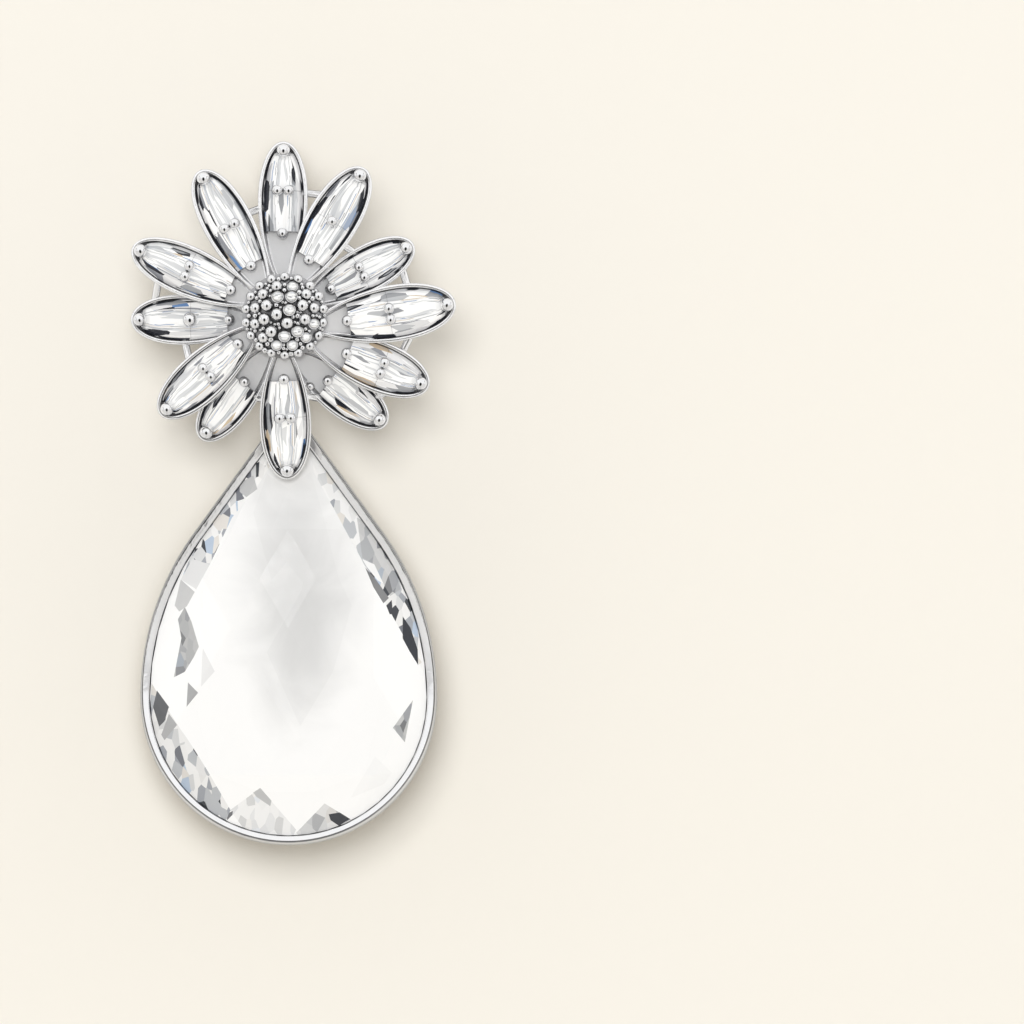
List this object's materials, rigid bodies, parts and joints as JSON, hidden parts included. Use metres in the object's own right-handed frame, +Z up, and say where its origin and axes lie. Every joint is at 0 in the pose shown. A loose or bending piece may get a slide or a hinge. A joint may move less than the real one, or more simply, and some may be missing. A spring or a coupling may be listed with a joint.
{
  "type": "teardrop earring",
  "caption": "Drop earring: a stone-set daisy of beaded petals round a stamen cluster, with a large faceted pear stone in a closed bezel hanging below it from a link.",
  "frame": {"origin": "where the post leaves the back face of its pad, the face that rests on the ear", "axes": "+Z up as the earring hangs, -Y out of the front of the flower and the drop, +X to the viewer's right"},
  "size_m": [0.0292, 0.0192, 0.0634],
  "materials": {
    "polished_silver": "bright polished plating",
    "petal_crystal": "clear cut crystal over bright foil",
    "drop_crystal": "clear cut crystal over a white back"
  },
  "bodies": {
    "flower": {"flower_frame": "polished_silver", "stamen_cluster": "polished_silver", "ear_post": "polished_silver", "drop_hanger": "polished_silver", "petal_stone_outer_01": "petal_crystal", "petal_stone_inner_01": "petal_crystal", "petal_stone_outer_02": "petal_crystal", "petal_stone_inner_02": "petal_crystal", "petal_stone_outer_03": "petal_crystal", "petal_stone_inner_03": "petal_crystal", "petal_stone_outer_04": "petal_crystal", "petal_stone_inner_04": "petal_crystal", "petal_stone_outer_05": "petal_crystal", "petal_stone_inner_05": "petal_crystal", "petal_stone_outer_06": "petal_crystal", "petal_stone_outer_07": "petal_crystal", "petal_stone_inner_07": "petal_crystal", "petal_stone_outer_08": "petal_crystal", "petal_stone_outer_09": "petal_crystal", "petal_stone_inner_09": "petal_crystal", "petal_stone_outer_10": "petal_crystal", "petal_stone_inner_10": "petal_crystal", "petal_stone_outer_11": "petal_crystal", "petal_stone_inner_11": "petal_crystal", "petal_stone_outer_12": "petal_crystal", "petal_stone_inner_12": "petal_crystal"},
    "link": {"drop_link": "polished_silver"},
    "drop": {"drop_bezel": "polished_silver", "drop_stone": "drop_crystal"}
  },
  "joints": [
    {"name": "link_swing", "type": "hinge", "parent": "flower", "child": "link", "pos_m": [0.00023, 0, -0.0063], "axis": [0, 1, 0], "range_deg": [-20, 20]},
    {"name": "drop_swing", "type": "hinge", "parent": "link", "child": "drop", "pos_m": [0.00023, 0, -0.00832], "axis": [1, 0, 0], "range_deg": [-12, 40]}
  ]
}
